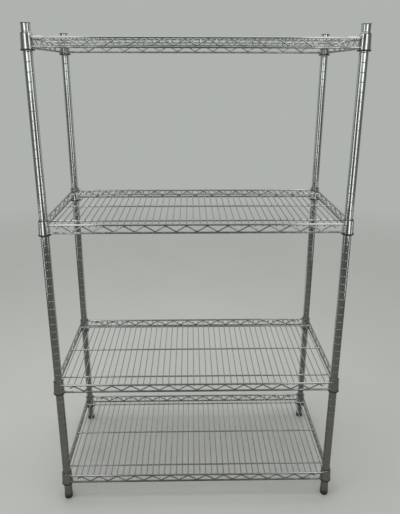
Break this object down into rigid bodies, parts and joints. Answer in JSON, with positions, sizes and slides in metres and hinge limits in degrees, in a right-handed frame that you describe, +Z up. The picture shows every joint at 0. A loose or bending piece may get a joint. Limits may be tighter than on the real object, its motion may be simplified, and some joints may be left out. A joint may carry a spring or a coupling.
{
  "type": "wire shelving unit",
  "caption": "Free-standing wire shelving unit: grooved chrome posts, four wire shelves on tapered two-piece sleeves, plastic caps and levelling feet.",
  "frame": {"origin": "on the floor under the middle of the unit", "axes": "+X to the right seen from the front, +Y to the rear, +Z up"},
  "size_m": [0.9084, 0.4524, 1.502],
  "materials": {
    "post_chrome": "polished",
    "collar_chrome": "polished",
    "wire_chrome": "polished",
    "deck_chrome": "polished",
    "sleeve_plastic": "satin",
    "cap_plastic": "satin",
    "insert_plastic": "satin",
    "foot_plastic": "matte",
    "stud_steel": "blackened"
  },
  "bodies": {
    "root": {"post_front_left": "post_chrome", "post_front_right": "post_chrome", "post_rear_left": "post_chrome", "post_rear_right": "post_chrome", "cap_front_left": "cap_plastic", "cap_front_right": "cap_plastic", "cap_rear_left": "cap_plastic", "cap_rear_right": "cap_plastic", "insert_front_left": "insert_plastic", "insert_front_right": "insert_plastic", "insert_rear_left": "insert_plastic", "insert_rear_right": "insert_plastic", "bottom_sleeve_front_left": "sleeve_plastic", "bottom_sleeve_front_right": "sleeve_plastic", "bottom_sleeve_rear_left": "sleeve_plastic", "bottom_sleeve_rear_right": "sleeve_plastic", "lower_sleeve_front_left": "sleeve_plastic", "lower_sleeve_front_right": "sleeve_plastic", "lower_sleeve_rear_left": "sleeve_plastic", "lower_sleeve_rear_right": "sleeve_plastic", "upper_sleeve_front_left": "sleeve_plastic", "upper_sleeve_front_right": "sleeve_plastic", "upper_sleeve_rear_left": "sleeve_plastic", "upper_sleeve_rear_right": "sleeve_plastic", "top_sleeve_front_left": "sleeve_plastic", "top_sleeve_front_right": "sleeve_plastic", "top_sleeve_rear_left": "sleeve_plastic", "top_sleeve_rear_right": "sleeve_plastic"},
    "front_left_foot": {"foot_front_left": "foot_plastic", "stud_front_left": "stud_steel"},
    "front_right_foot": {"foot_front_right": "foot_plastic", "stud_front_right": "stud_steel"},
    "rear_left_foot": {"foot_rear_left": "foot_plastic", "stud_rear_left": "stud_steel"},
    "rear_right_foot": {"foot_rear_right": "foot_plastic", "stud_rear_right": "stud_steel"},
    "bottom_shelf": {"bottom_collars": "collar_chrome", "bottom_truss_front": "wire_chrome", "bottom_truss_rear": "wire_chrome", "bottom_truss_left": "wire_chrome", "bottom_truss_right": "wire_chrome", "bottom_deck": "deck_chrome"},
    "lower_shelf": {"lower_collars": "collar_chrome", "lower_truss_front": "wire_chrome", "lower_truss_rear": "wire_chrome", "lower_truss_left": "wire_chrome", "lower_truss_right": "wire_chrome", "lower_deck": "deck_chrome"},
    "upper_shelf": {"upper_collars": "collar_chrome", "upper_truss_front": "wire_chrome", "upper_truss_rear": "wire_chrome", "upper_truss_left": "wire_chrome", "upper_truss_right": "wire_chrome", "upper_deck": "deck_chrome"},
    "top_shelf": {"top_collars": "collar_chrome", "top_truss_front": "wire_chrome", "top_truss_rear": "wire_chrome", "top_truss_left": "wire_chrome", "top_truss_right": "wire_chrome", "top_deck": "deck_chrome"}
  },
  "joints": [
    {"name": "bottom_shelf_lift", "type": "slide", "parent": "root", "child": "bottom_shelf", "axis": [0, 0, 1], "range_m": [0, 0.305]},
    {"name": "lower_shelf_lift", "type": "slide", "parent": "root", "child": "lower_shelf", "axis": [0, 0, 1], "range_m": [0, 0.48]},
    {"name": "upper_shelf_lift", "type": "slide", "parent": "root", "child": "upper_shelf", "axis": [0, 0, 1], "range_m": [0, 0.455]},
    {"name": "top_shelf_lift", "type": "slide", "parent": "root", "child": "top_shelf", "axis": [0, 0, 1], "range_m": [0, 0.06]},
    {"name": "front_left_foot_screw", "type": "slide", "parent": "root", "child": "front_left_foot", "axis": [0, 0, -1], "range_m": [0, 0.015]},
    {"name": "front_right_foot_screw", "type": "slide", "parent": "root", "child": "front_right_foot", "axis": [0, 0, -1], "range_m": [0, 0.015]},
    {"name": "rear_left_foot_screw", "type": "slide", "parent": "root", "child": "rear_left_foot", "axis": [0, 0, -1], "range_m": [0, 0.015]},
    {"name": "rear_right_foot_screw", "type": "slide", "parent": "root", "child": "rear_right_foot", "axis": [0, 0, -1], "range_m": [0, 0.015]}
  ]
}
